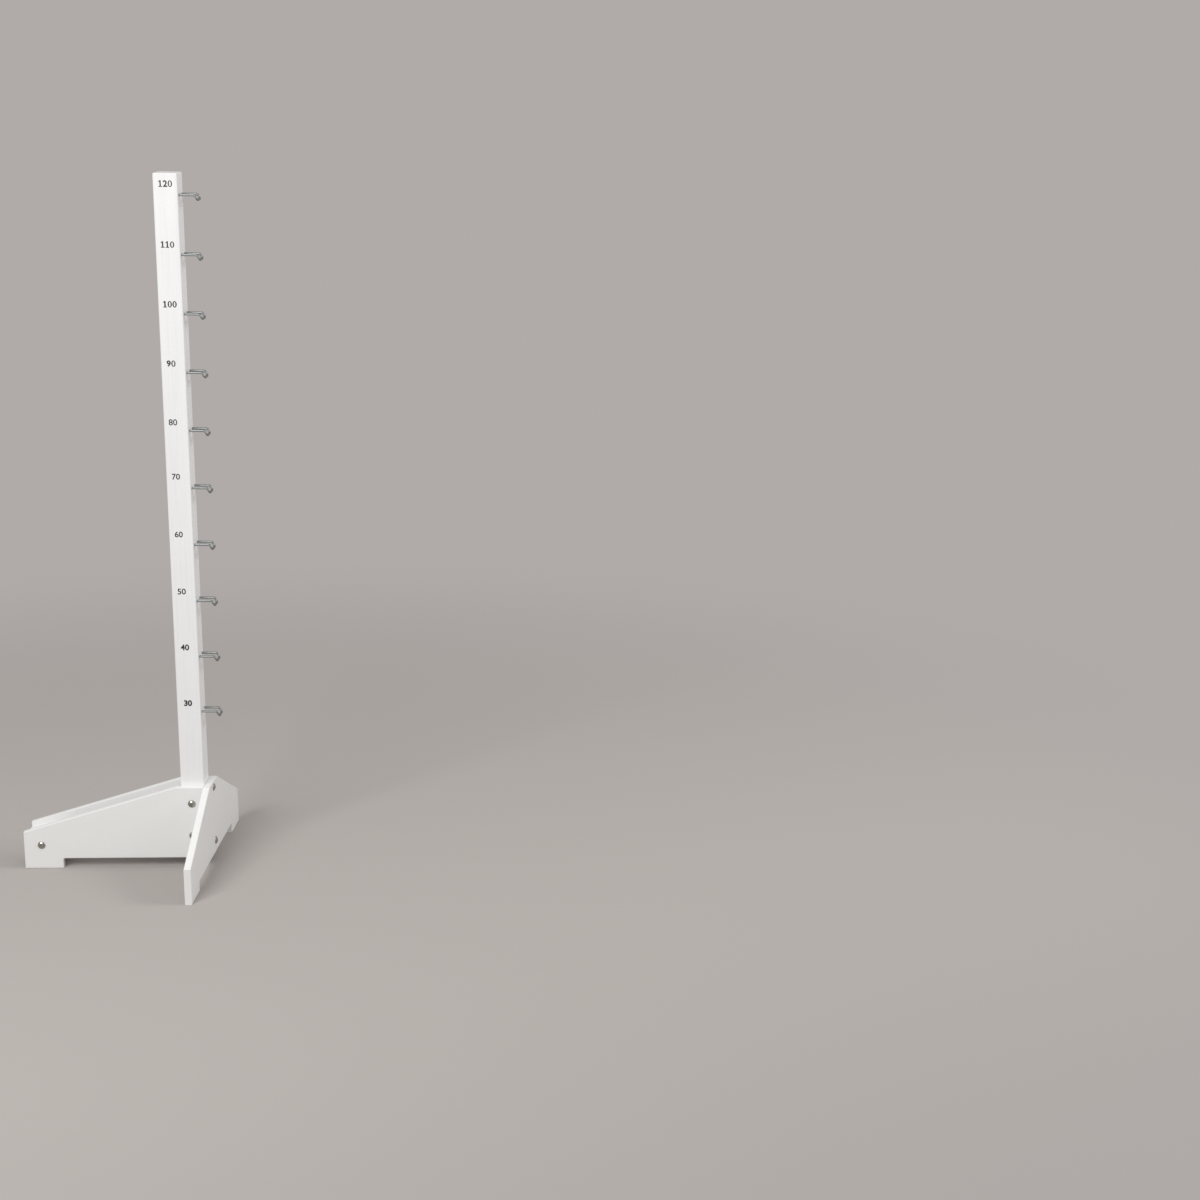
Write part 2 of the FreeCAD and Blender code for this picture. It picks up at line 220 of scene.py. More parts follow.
add_node(board_paint, "ShaderNodeOutputMaterial", {}, {"Surface": enamel.outputs["BSDF"]})
for name in BOARD_NODES:
    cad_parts[name].data.materials[0] = board_paint

# Hooks. Each is one piece of 4 mm galvanised wire bent to a long U whose closed end dips below the
# two legs. Both ends are driven into blind holes in the post, one hook below each height mark.
HOOK_MARKS = range(30, 130, 10)
WIRE_RADIUS = 2.0 * MM
WIRE_SIDES = 24
LEG_SPACING = 25.0 * MM
LEG_ROOT = -5.0 * MM
HOOK_TIP = 50.0 * MM
DIP_ANGLE = math.radians(65)
BEND_RADIUS = 4.5 * MM
BEND_STEPS = 8
# Edges that turn by more than this stay sharp
WIRE_SHARP_ANGLE = math.radians(40)
WIRE_DARK_SILVER = "#919696"
WIRE_LIGHT_SILVER = "#A4A8A7"
WIRE_ROUGHNESS = (0.42, 0.48)
SPANGLE_SIZE = 7.0 * MM
DRAWN_LINE_WIDTH = 0.5 * MM
DRAWN_LINE_LENGTH = 20.0 * MM
DRAWN_LINE_DEPTH = 0.01 * MM

hook_low, hook_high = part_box("pole_hook_030")
legs_height = hook_high.z - WIRE_RADIUS
dip = legs_height - (hook_low.z + WIRE_RADIUS)
knee = HOOK_TIP - dip / math.tan(DIP_ANGLE)
half_spacing = LEG_SPACING / 2
wire_corners = [
    Vector((LEG_ROOT, -half_spacing, legs_height)),
    Vector((knee, -half_spacing, legs_height)),
    Vector((HOOK_TIP, -half_spacing, legs_height - dip)),
    Vector((HOOK_TIP, half_spacing, legs_height - dip)),
    Vector((knee, half_spacing, legs_height)),
    Vector((LEG_ROOT, half_spacing, legs_height)),
]
bpy.ops.object.select_all(action="DESELECT")
bpy.ops.mesh.primitive_circle_add(
    vertices=WIRE_SIDES, radius=WIRE_RADIUS, location=wire_corners[0],
    rotation=(0, math.pi / 2, 0),
)
first_hook = bpy.context.object
bpy.ops.object.mode_set(mode="EDIT")
reached = wire_corners[0]
for before, corner, after in zip(wire_corners, wire_corners[1:], wire_corners[2:]):
    incoming = (corner - before).normalized()
    outgoing = (after - corner).normalized()
    turn = incoming.angle(outgoing)
    bend_start = corner - incoming * BEND_RADIUS * math.tan(turn / 2)
    inward = (outgoing - incoming * incoming.dot(outgoing)).normalized()
    bpy.ops.mesh.extrude_region_move(TRANSFORM_OT_translate={"value": bend_start - reached})
    bpy.ops.mesh.spin(
        steps=BEND_STEPS, angle=turn, center=bend_start + inward * BEND_RADIUS,
        axis=outgoing.cross(incoming).normalized(),
    )
    reached = corner + outgoing * BEND_RADIUS * math.tan(turn / 2)
bpy.ops.mesh.extrude_region_move(TRANSFORM_OT_translate={"value": wire_corners[-1] - reached})
bpy.ops.mesh.select_all(action="SELECT")
bpy.ops.mesh.fill_holes(sides=0)
bpy.ops.mesh.normals_make_consistent(inside=False)
bpy.ops.object.mode_set(mode="OBJECT")
bpy.ops.object.transform_apply(location=True, rotation=True, scale=True)
bpy.ops.object.shade_smooth_by_angle(angle=WIRE_SHARP_ANGLE)

# Galvanised drawn wire: a dull silver with soft clouds in its shine, and fine lines from the
# drawing die along the wire, which are drawn twice as coarse as they are so that they show.
wire_zinc, place = new_material("galvanised_drawn_wire")
spangle = add_node(
    wire_zinc, "ShaderNodeTexNoise", {},
    {"Vector": stretched(wire_zinc, place, (SPANGLE_SIZE, SPANGLE_SIZE, SPANGLE_SIZE)),
     "Scale": 1.0, "Detail": 4.0, "Roughness": 0.6},
)
drawn_lines = add_node(
    wire_zinc, "ShaderNodeTexNoise", {},
    {"Vector": stretched(
        wire_zinc, place, (DRAWN_LINE_LENGTH, DRAWN_LINE_WIDTH, DRAWN_LINE_WIDTH)),
     "Scale": 1.0, "Detail": 1.0},
)
silver = add_node(
    wire_zinc, "ShaderNodeMix", {"data_type": "RGBA"},
    {0: spangle.outputs["Fac"], 6: linear(WIRE_DARK_SILVER), 7: linear(WIRE_LIGHT_SILVER)},
)
gloss = add_node(
    wire_zinc, "ShaderNodeMapRange", {},
    {"Value": spangle.outputs["Fac"], "From Min": NOISE_LOW, "From Max": NOISE_HIGH,
     "To Min": WIRE_ROUGHNESS[0], "To Max": WIRE_ROUGHNESS[1]},
)
wire_relief = add_node(
    wire_zinc, "ShaderNodeBump", {},
    {"Height": drawn_lines.outputs["Fac"], "Strength": 0.2, "Distance": DRAWN_LINE_DEPTH},
)
zinc = add_node(
    wire_zinc, "ShaderNodeBsdfPrincipled", {},
    {"Base Color": silver.outputs[2], "Metallic": 1.0, "Roughness": gloss.outputs["Result"],
     "Normal": wire_relief.outputs["Normal"]},
)
add_node(wire_zinc, "ShaderNodeOutputMaterial", {}, {"Surface": zinc.outputs["BSDF"]})
first_hook.data.materials.append(wire_zinc)

for mark in HOOK_MARKS:
    if mark == HOOK_MARKS[0]:
        hook = first_hook
    else:
        hook = first_hook.copy()
        hook.data = first_hook.data.copy()
        bpy.context.collection.objects.link(hook)
        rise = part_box(f"pole_hook_{mark:03d}")[1].z - hook_high.z
        hook.data.transform(Matrix.Translation((0, 0, rise)))
    hook.name = f"bent_wire_hook_{mark:03d}"
    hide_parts(f"pole_hook_{mark:03d}")
    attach(hook, "root")

# Bolts. Bright zinc-plated steel, M6, with a low domed head and a hexagon socket: three long ones
# through both foot boards with the post or the spacer between them, two through the cross board.
HEAD_RADIUS = 6.75 * MM
HEAD_HEIGHT = 3.6 * MM
HEAD_RIM = 0.8 * MM
RIM_EDGE = 0.2 * MM
HEAD_ROUNDING = 0.3 * MM
HEAD_ROUNDING_MIDDLE = (0.08 * MM, 0.1 * MM)
DOME_RINGS = (0.97, 0.92, 0.84, 0.74, 0.63, 0.52, 0.41)
BOLT_SIDES = 48
SHANK_RADIUS = 3.0 * MM
THREAD_ROOT_RADIUS = 2.5 * MM
BOLT_END_CHAMFER = 0.3 * MM
SOCKET_ACROSS_FLATS = 4.0 * MM
SOCKET_DEPTH = 2.2 * MM
SHARP_ANGLE = math.radians(35)
BOLT_DARK_SILVER = "#ABABA4"
BOLT_LIGHT_SILVER = "#C4C3BB"
BOLT_ROUGHNESS = (0.16, 0.28)
HANDLING_MARK_SIZE = 2.5 * MM
# The thread is drawn as rings one pitch apart, each with its root, two ends of its crest and root
THREAD_PITCH = 1.0 * MM
THREAD_TURNS = 14
THREAD_START = 0.4 * MM
THREAD_RUN_OUT = 0.8 * MM
THREAD_RING = (
    (THREAD_ROOT_RADIUS, 0), (SHANK_RADIUS, 0.4), (SHANK_RADIUS, 0.55), (THREAD_ROOT_RADIUS, 0.95)
)
BOARD_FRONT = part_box("front_foot_board")[0].y
BOARD_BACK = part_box("rear_foot_board")[1].y
BOARD_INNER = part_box("cross_board")[1].x
POST_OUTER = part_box("post")[0].x
# Each bolt's height, and for the foot boards its place along them first
FOOT_BOLTS = {
    "foot_bolt_outer": (-262 * MM, 43 * MM),
    "foot_bolt_lower": (0, 59 * MM),
    "foot_bolt_upper": (0, 118 * MM),
}
CROSS_BOLTS = {"cross_bolt_lower": 39 * MM, "cross_bolt_upper": 138 * MM}
FOOT_BOLT_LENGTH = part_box("foot_board_bolts")[1].y - BOARD_FRONT
CROSS_BOLT_LENGTH = BOARD_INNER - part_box("cross_board_bolts")[0].x


def turned(name, profile, sides):
    """Shape a filled disc ring by ring along +Z, as on a lathe, from (radius, height) pairs."""
    radius, height = profile[0]
    bpy.ops.object.select_all(action="DESELECT")
    bpy.ops.mesh.primitive_circle_add(
        vertices=sides, radius=radius, fill_type="NGON", location=(0, 0, height)
    )
    piece = bpy.context.object
    piece.name = name
    bpy.ops.object.mode_set(mode="EDIT")
    for next_radius, next_height in profile[1:]:
        bpy.ops.mesh.extrude_region_move(
            TRANSFORM_OT_translate={"value": (0, 0, next_height - height)}
        )
        scale = next_radius / radius
        bpy.ops.transform.resize(value=(scale, scale, 1), center_override=(0, 0, next_height))
        radius, height = next_radius, next_height
    bpy.ops.mesh.select_all(action="SELECT")
    bpy.ops.mesh.normals_make_consistent(inside=False)
    bpy.ops.object.mode_set(mode="OBJECT")
    bpy.ops.object.transform_apply(location=True, rotation=True, scale=True)
    return piece


def combined(piece, other, operation):
    """Unite one mesh with another, or cut the other out of it, and take the other away."""
    boolean = piece.modifiers.new("combine", "BOOLEAN")
    boolean.operation = operation
    boolean.solver = "EXACT"
    boolean.object = other
    bpy.context.view_layer.objects.active = piece
    bpy.ops.object.modifier_apply(modifier="combine")
    bpy.data.objects.remove(other)
    return piece


def domed_bolt(name, length):
    """A bolt along Z whose head rests at zero and stands up, and whose thread points down."""
    profile = [
        (THREAD_ROOT_RADIUS - BOLT_END_CHAMFER, -length),
        (THREAD_ROOT_RADIUS, -length + BOLT_END_CHAMFER),
    ]
    for turn in range(THREAD_TURNS):
        root = -length + THREAD_START + turn * THREAD_PITCH
        for radius, share in THREAD_RING:
            profile.append((radius, root + share * THREAD_PITCH))
    rounding_in, rounding_up = HEAD_ROUNDING_MIDDLE
    profile += [
        (SHANK_RADIUS, -length + THREAD_RUN_OUT + THREAD_TURNS * THREAD_PITCH),
        (SHANK_RADIUS, 0),
        (HEAD_RADIUS - HEAD_ROUNDING, 0),
        (HEAD_RADIUS - rounding_in, rounding_up),
        (HEAD_RADIUS, HEAD_ROUNDING),
        (HEAD_RADIUS, HEAD_RIM - RIM_EDGE),
    ]
    dome_rise = HEAD_HEIGHT - HEAD_RIM
    dome_radius = (HEAD_RADIUS ** 2 + dome_rise ** 2) / (2 * dome_rise)
    widest = math.asin(HEAD_RADIUS / dome_radius)
    for share in DOME_RINGS:
        angle = widest * share
        height = HEAD_HEIGHT - dome_radius * (1 - math.cos(angle))
        profile.append((dome_radius * math.sin(angle), height))
    bolt = turned(name, profile, BOLT_SIDES)
    bpy.ops.mesh.primitive_cylinder_add(
        vertices=6, radius=SOCKET_ACROSS_FLATS / 2 / math.cos(math.pi / 6),
        depth=2 * SOCKET_DEPTH, location=(0, 0, HEAD_HEIGHT),
    )
    return combined(bolt, bpy.context.object, "DIFFERENCE")


# Bright zinc plate on steel: a clear silver a little warmer than the wire's, with very faint
# clouds and tiny handling marks that keep the highlight from being perfectly clean.
bolt_zinc, place = new_material("bright_zinc_plated_steel")
handling = add_node(
    bolt_zinc, "ShaderNodeTexNoise", {},
    {"Vector": stretched(
        bolt_zinc, place, (HANDLING_MARK_SIZE, HANDLING_MARK_SIZE, HANDLING_MARK_SIZE)),
     "Scale": 1.0, "Detail": 5.0, "Roughness": 0.65},
)
silver = add_node(
    bolt_zinc, "ShaderNodeMix", {"data_type": "RGBA"},
    {0: handling.outputs["Fac"], 6: linear(BOLT_DARK_SILVER), 7: linear(BOLT_LIGHT_SILVER)},
)
gloss = add_node(
    bolt_zinc, "ShaderNodeMapRange", {},
    {"Value": handling.outputs["Fac"], "From Min": NOISE_LOW, "From Max": NOISE_HIGH,
     "To Min": BOLT_ROUGHNESS[0], "To Max": BOLT_ROUGHNESS[1]},
)
zinc = add_node(
    bolt_zinc, "ShaderNodeBsdfPrincipled", {},
    {"Base Color": silver.outputs[2], "Metallic": 1.0, "Roughness": gloss.outputs["Result"]},
)
add_node(bolt_zinc, "ShaderNodeOutputMaterial", {}, {"Surface": zinc.outputs["BSDF"]})

long_bolt = domed_bolt("long_bolt", FOOT_BOLT_LENGTH)
long_bolt.data.materials.append(bolt_zinc)
short_bolt = domed_bolt("short_bolt", CROSS_BOLT_LENGTH)
short_bolt.data.materials.append(bolt_zinc)
for bolt in (long_bolt, short_bolt):
    bpy.ops.object.select_all(action="DESELECT")
    bolt.select_set(True)
    bpy.context.view_layer.objects.active = bolt
    bpy.ops.object.shade_smooth_by_angle(angle=SHARP_ANGLE)


def placed_copy(model, name, place, turn):
    """A copy of a piece with its own mesh, turned and moved to its place within that mesh."""
    copy = model.copy()
    copy.data = model.data.copy()
    copy.name = name
    bpy.context.collection.objects.link(copy)
    copy.data.transform(Matrix.Translation(place) @ turn)
    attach(copy, "root")
    return copy


TO_FRONT = Matrix.Rotation(math.radians(90), 4, "X")
TO_BACK = Matrix.Rotation(math.radians(-90), 4, "X")
TO_INNER = Matrix.Rotation(math.radians(90), 4, "Y")
TO_OUTER = Matrix.Rotation(math.radians(-90), 4, "Y")
for name, (along, height) in FOOT_BOLTS.items():
    bolt = placed_copy(long_bolt, name, (along, BOARD_FRONT, height), TO_FRONT)
    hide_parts("foot_board_bolts")
for name, height in CROSS_BOLTS.items():
    bolt = placed_copy(short_bolt, name, (BOARD_INNER, 0, height), TO_INNER)
    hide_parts("cross_board_bolts")
bpy.data.objects.remove(long_bolt)
bpy.data.objects.remove(short_bolt)

# Drive-in nuts. Pressed from zinc-plated sheet: a flange on the face of the wood, a threaded barrel
# and four prongs bent down out of the rim, which bite into the wood and leave four notches.
FLANGE_RADIUS = 9.5 * MM
FLANGE_THICKNESS = 1.4 * MM
FLANGE_UNDER_EDGE = 0.1 * MM
FLANGE_ROUNDING = 0.4 * MM
FLANGE_ROUNDING_MIDDLE = 0.12 * MM
NUT_SIDES = 64
BARREL_RADIUS = 3.9 * MM
BARREL_LENGTH = 9.0 * MM
BARREL_CHAMFER = 0.3 * MM
MOUTH_WIDTH = 1.1 * MM
MOUTH_STEP_WIDTH = 0.5 * MM
MOUTH_DEPTH = 0.3 * MM
BORE_SIDES = 48
BORE_CLEARANCE = 0.05 * MM
NOTCH_WIDTH = 5.0 * MM
NOTCH_DEPTH = 3.6 * MM
PRONG_LENGTH = 6.5 * MM
PRONG_WIDTH = 4.8 * MM
PRONG_TAPER = 0.25
PRONG_EDGE = 0.12 * MM
PRONG_SET_DOWN = 0.05 * MM
PRONG_SET_OUT = 0.05 * MM
PRONG_EDGE_STEPS = 2
PRONG_DIRECTIONS = [math.radians(degrees) for degrees in (45, 135, 225, 315)]
NUT_DARK_SILVER = "#AFB2B2"
NUT_LIGHT_SILVER = "#C9CBC9"
NUT_ROUGHNESS = (0.28, 0.42)
PRESS_MARK_SIZE = 3.0 * MM
PRESS_MARK_DEPTH = 0.05 * MM

first_nut = turned(
    "drive_in_nut",
    [
        (BARREL_RADIUS - BARREL_CHAMFER, -BARREL_LENGTH),
        (BARREL_RADIUS, -BARREL_LENGTH + BARREL_CHAMFER),
        (BARREL_RADIUS, 0),
        (FLANGE_RADIUS - FLANGE_UNDER_EDGE, 0),
        (FLANGE_RADIUS, FLANGE_UNDER_EDGE),
        (FLANGE_RADIUS, FLANGE_THICKNESS - FLANGE_ROUNDING),
        (FLANGE_RADIUS - FLANGE_ROUNDING_MIDDLE, FLANGE_THICKNESS - FLANGE_ROUNDING_MIDDLE),
        (FLANGE_RADIUS - FLANGE_ROUNDING, FLANGE_THICKNESS),
        (SHANK_RADIUS + MOUTH_WIDTH, FLANGE_THICKNESS),
        (SHANK_RADIUS + MOUTH_STEP_WIDTH, FLANGE_THICKNESS - MOUTH_DEPTH),
    ],
    NUT_SIDES,
)
bpy.ops.mesh.primitive_cylinder_add(
    vertices=BORE_SIDES, radius=SHANK_RADIUS + BORE_CLEARANCE, depth=4 * BARREL_LENGTH,
    location=(0, 0, 0),
)
combined(first_nut, bpy.context.object, "DIFFERENCE")
for direction in PRONG_DIRECTIONS:
    middle = Vector((math.cos(direction), math.sin(direction), 0)) * FLANGE_RADIUS
    bpy.ops.mesh.primitive_cube_add(
        size=1, location=middle, rotation=(0, 0, direction),
        scale=(2 * NOTCH_DEPTH, NOTCH_WIDTH, 4 * FLANGE_THICKNESS),
    )
    combined(first_nut, bpy.context.object, "DIFFERENCE")

prong_top = FLANGE_THICKNESS - PRONG_SET_DOWN
prong_out = FLANGE_RADIUS - NOTCH_DEPTH - FLANGE_THICKNESS / 2 + PRONG_SET_OUT
for direction in PRONG_DIRECTIONS:
    middle = Vector((math.cos(direction), math.sin(direction), 0)) * prong_out
    middle.z = (prong_top - PRONG_LENGTH) / 2
    bpy.ops.object.select_all(action="DESELECT")
    bpy.ops.mesh.primitive_cube_add(
        size=1, location=middle, rotation=(0, 0, direction),
        scale=(FLANGE_THICKNESS, PRONG_WIDTH, PRONG_LENGTH + prong_top),
    )
    prong = bpy.context.object
    bpy.ops.object.mode_set(mode="EDIT")
    bpy.ops.mesh.select_all(action="DESELECT")
    bpy.ops.object.mode_set(mode="OBJECT")
    for vertex in prong.data.vertices:
        vertex.select = vertex.co.z < 0
    bpy.ops.object.mode_set(mode="EDIT")
    bpy.ops.transform.resize(
        value=(PRONG_TAPER, PRONG_TAPER, 1), center_override=(middle.x, middle.y, -PRONG_LENGTH)
    )
    bpy.ops.object.mode_set(mode="OBJECT")
    bpy.ops.object.transform_apply(location=True, rotation=True, scale=True)
    edges = prong.modifiers.new("edges", "BEVEL")
    edges.width = PRONG_EDGE
    edges.segments = PRONG_EDGE_STEPS
    bpy.ops.object.modifier_apply(modifier="edges")
    combined(first_nut, prong, "UNION")


SAME_PLACE = 0.01 * MM


def closed_up(piece):
    """Merge vertices that lie together, take out empty faces and face the rest outwards."""
    bpy.ops.object.select_all(action="DESELECT")
    piece.select_set(True)
    bpy.context.view_layer.objects.active = piece
    bpy.ops.object.mode_set(mode="EDIT")
    bpy.ops.mesh.select_all(action="SELECT")
    bpy.ops.mesh.remove_doubles(threshold=SAME_PLACE)
    bpy.ops.mesh.dissolve_degenerate(threshold=SAME_PLACE)
    bpy.ops.mesh.normals_make_consistent(inside=False)
    bpy.ops.object.mode_set(mode="OBJECT")


closed_up(first_nut)
bpy.ops.object.shade_smooth_by_angle(angle=SHARP_ANGLE)

# Zinc plate on pressed sheet steel: a greyer, softer silver than the bolts, with the slightly
# uneven shine of sheet that has been through a press.
nut_zinc, place = new_material("zinc_plated_pressed_steel")
press_marks = add_node(
    nut_zinc, "ShaderNodeTexNoise", {},
    {"Vector": stretched(nut_zinc, place, (PRESS_MARK_SIZE, PRESS_MARK_SIZE, PRESS_MARK_SIZE)),
     "Scale": 1.0, "Detail": 4.0, "Roughness": 0.6},
)
silver = add_node(
    nut_zinc, "ShaderNodeMix", {"data_type": "RGBA"},
    {0: press_marks.outputs["Fac"], 6: linear(NUT_DARK_SILVER), 7: linear(NUT_LIGHT_SILVER)},
)
gloss = add_node(
    nut_zinc, "ShaderNodeMapRange", {},
    {"Value": press_marks.outputs["Fac"], "From Min": NOISE_LOW, "From Max": NOISE_HIGH,
     "To Min": NUT_ROUGHNESS[0], "To Max": NUT_ROUGHNESS[1]},
)
press_relief = add_node(
    nut_zinc, "ShaderNodeBump", {},
    {"Height": press_marks.outputs["Fac"], "Strength": 0.3, "Distance": PRESS_MARK_DEPTH},
)
zinc = add_node(
    nut_zinc, "ShaderNodeBsdfPrincipled", {},
    {"Base Color": silver.outputs[2], "Metallic": 1.0, "Roughness": gloss.outputs["Result"],
     "Normal": press_relief.outputs["Normal"]},
)
add_node(nut_zinc, "ShaderNodeOutputMaterial", {}, {"Surface": zinc.outputs["BSDF"]})
first_nut.data.materials.append(nut_zinc)
for name, (along, height) in FOOT_BOLTS.items():
    nut = placed_copy(
        first_nut, name.replace("bolt", "nut"), (along, BOARD_BACK, height), TO_BACK
    )
    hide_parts("foot_board_nuts")
for name, height in CROSS_BOLTS.items():
    nut = placed_copy(
        first_nut, name.replace("bolt", "nut"), (POST_OUTER, 0, height), TO_OUTER
    )
    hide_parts("cross_board_nuts")
bpy.data.objects.remove(first_nut)

# Height numbers. Cut from thin matt black film and stuck by hand on the front and rear faces of the
# post, one at each mark: slab-serif figures at the upper four marks, plain ones at the rest.
FILM_THICKNESS = 0.15 * MM
FILM_BURIED = 0.05 * MM
FILM_BLACK = "#17181A"
FILM_WORN_BLACK = "#1F2022"
FILM_ROUGHNESS = (0.42, 0.55)
FILM_IOR = 1.52
RIPPLE_SIZE = 1.5 * MM
POST_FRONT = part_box("post")[0].y
POST_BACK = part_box("post")[1].y
# For each mark in centimetres: the figures' height in millimetres, how much their strokes are
# thickened, as a share of the figures' or the typeface's size, and how far to the right of the
# post's middle and above the mark they were stuck on the front, in millimetres.
NUMBERS = {
    30: (10.8, 0.04, -0.9, -0.5),
    40: (10.8, 0.024, -2.0, 0.5),
    50: (10.6, 0.016, -3.0, 0.7),
    60: (10.4, 0.016, -3.5, 2.0),
    70: (10.4, 0.014, -3.8, 3.3),
    80: (10.6, 0.01, -4.6, -2.4),
    90: (10.8, 0.032, -3.2, -1.6),
    100: (11.0, 0.045, -0.8, -0.8),
    110: (10.8, 0.038, -0.3, -0.5),
    120: (11.0, 0.03, 0.4, 0.7),
}
CURVE_STEPS = 6
NOUGHT_SIDES = 48
SLAB_MARKS = (90, 100, 110, 120)
# Proportions of the slab-serif figures. Lengths are shares of their height.
SLAB_ADVANCE = 0.72
SLAB_STROKE = 0.13
ONE_FOOT_WIDTH = 0.54
ONE_FLAG_WIDTH = 0.3
ONE_FLAG_PLACE = (-0.13, 0.35)
ONE_FLAG_TILT = math.radians(24)
NOUGHT_HALF_WIDTH = 0.32
NOUGHT_HALF_HEIGHT = 0.5
NOUGHT_HOLE_HALF_WIDTH = 0.18
NOUGHT_HOLE_HALF_HEIGHT = 0.42
NOUGHT_SIDE_THICKENING = 1.2

# Matt self-adhesive vinyl film: nearly black, with a low even sheen and the weak ripple of film
# that has been rubbed down by hand.
film, place = new_material("matt_black_vinyl_film")
ripple = add_node(
    film, "ShaderNodeTexNoise", {},
    {"Vector": stretched(film, place, (RIPPLE_SIZE, RIPPLE_SIZE, RIPPLE_SIZE)),
     "Scale": 1.0, "Detail": 3.0},
)
black = add_node(
    film, "ShaderNodeMix", {"data_type": "RGBA"},
    {0: ripple.outputs["Fac"], 6: linear(FILM_BLACK), 7: linear(FILM_WORN_BLACK)},
)
gloss = add_node(
    film, "ShaderNodeMapRange", {},
    {"Value": ripple.outputs["Fac"], "From Min": NOISE_LOW, "From Max": NOISE_HIGH,
     "To Min": FILM_ROUGHNESS[0], "To Max": FILM_ROUGHNESS[1]},
)
vinyl = add_node(
    film, "ShaderNodeBsdfPrincipled", {},
    {"Base Color": black.outputs[2], "Roughness": gloss.outputs["Result"], "IOR": FILM_IOR},
)
add_node(film, "ShaderNodeOutputMaterial", {}, {"Surface": vinyl.outputs["BSDF"]})


def film_bar(width, height, across, up, tilt):
    """A bar of film, seen from its face, with its middle at a place."""
    bpy.ops.object.select_all(action="DESELECT")
    bpy.ops.mesh.primitive_cube_add(
        size=1, location=(across, up, 0), rotation=(0, 0, tilt),
        scale=(width, height, FILM_THICKNESS),
    )
    bpy.ops.object.transform_apply(location=True, rotation=True, scale=True)
    return bpy.context.object


def slab_one(height, weight):
    """A figure one with a foot and a flag, like a typewriter's."""
    stroke = SLAB_STROKE * height
    flag_across, flag_up = ONE_FLAG_PLACE
    stem = film_bar((SLAB_STROKE + 2 * weight) * height, height, 0, 0, 0)
    foot = film_bar(ONE_FOOT_WIDTH * height, stroke, 0, (stroke - height) / 2, 0)
    flag = film_bar(
        ONE_FLAG_WIDTH * height, stroke, flag_across * height, flag_up * height, ONE_FLAG_TILT
    )
    return combined(combined(stem, foot, "UNION"), flag, "UNION")


def slab_nought(height, weight):
    """A nought that is heavier at its sides than at its top and foot."""
    hole_half_width = NOUGHT_HOLE_HALF_WIDTH - NOUGHT_SIDE_THICKENING * weight
    hole_half_height = NOUGHT_HOLE_HALF_HEIGHT - weight
    bpy.ops.object.select_all(action="DESELECT")
    bpy.ops.mesh.primitive_cylinder_add(
        vertices=NOUGHT_SIDES, radius=1, depth=FILM_THICKNESS,
        scale=(NOUGHT_HALF_WIDTH * height, NOUGHT_HALF_HEIGHT * height, 1),
    )
    bpy.ops.object.transform_apply(location=True, rotation=True, scale=True)
    outside = bpy.context.object
    bpy.ops.mesh.primitive_cylinder_add(
        vertices=NOUGHT_SIDES, radius=1, depth=3 * FILM_THICKNESS,
        scale=(hole_half_width * height, hole_half_height * height, 1),
    )
    bpy.ops.object.transform_apply(location=True, rotation=True, scale=True)
    return combined(outside, bpy.context.object, "DIFFERENCE")


def plain_figures(text, height, weight):
    """Figures of the plain typeface, their middle at the origin, as tall as given."""
    bpy.ops.object.select_all(action="DESELECT")
    bpy.ops.object.text_add()
    letters = bpy.context.object
    letters.data.body = text
    letters.data.offset = weight
    letters.data.extrude = FILM_THICKNESS / 2
    letters.data.resolution_u = CURVE_STEPS
    bpy.ops.object.convert(target="MESH")
    figures = bpy.context.object
    size = height / figures.dimensions.y
    figures.scale = (size, size, 1)
    bpy.ops.object.transform_apply(location=True, rotation=True, scale=True)
    closed_up(figures)
    low = Vector(figures.bound_box[0])
    high = Vector(figures.bound_box[6])
    figures.data.transform(Matrix.Translation(-(low + high) / 2))
    return figures


def slab_figures(text, height, weight):
    """Slab-serif figures set one after another, their middle at the origin."""
    figures = []
    for index, character in enumerate(text):
        if character == "1":
            figure = slab_one(height, weight)
        elif character == "0":
            figure = slab_nought(height, weight)
        else:
            figure = plain_figures(character, height, weight)
        step = (index - (len(text) - 1) / 2) * SLAB_ADVANCE * height
        figure.data.transform(Matrix.Translation((step, 0, 0)))
        figures.append(figure)
    bpy.ops.object.select_all(action="DESELECT")
    for figure in figures:
        figure.select_set(True)
    bpy.context.view_layer.objects.active = figures[0]
    bpy.ops.object.join()
    return figures[0]


UPRIGHT = Matrix.Rotation(math.radians(90), 4, "X")
HALF_TURN = Matrix.Rotation(math.radians(180), 4, "Z")
FILM_STAND = FILM_THICKNESS / 2 - FILM_BURIED
for mark, (size, weight, aside, above) in NUMBERS.items():
    draw = slab_figures if mark in SLAB_MARKS else plain_figures
    height = (mark * 10 + above) * MM
    front = draw(str(mark), size * MM, weight)
    front.data.transform(UPRIGHT)
    rear = front.copy()
    rear.data = front.data.copy()
    bpy.context.collection.objects.link(rear)
    front.data.transform(Matrix.Translation((aside * MM, POST_FRONT - FILM_STAND, height)))
    rear.data.transform(Matrix.Translation((0, POST_BACK + FILM_STAND, height)) @ HALF_TURN)
    front.name = f"height_number_front_{mark:03d}"
    rear.name = f"height_number_rear_{mark:03d}"
    for number in (front, rear):
        number.data.materials.clear()
        number.data.materials.append(film)
        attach(number, "root")

# Studio. A plain pale floor that fades into an even distance of the same warm grey, lit by a soft
# sky, a softbox above and to the left of the camera, and a weaker one at the hooks' side.
# Lengths are in metres and the softboxes' powers in watts.
DISTANCE_GREY = "#B0ABA8"
FLOOR_GREY = "#B0AAA6"
PAPER_ROUGHNESS = 0.5
FADE_START = 0.7
FADE_END = 2.6
FLOOR_SIDE = 80.0
SKY_WHITE = "#FFFFFF"
SKY_STRENGTH = 0.58

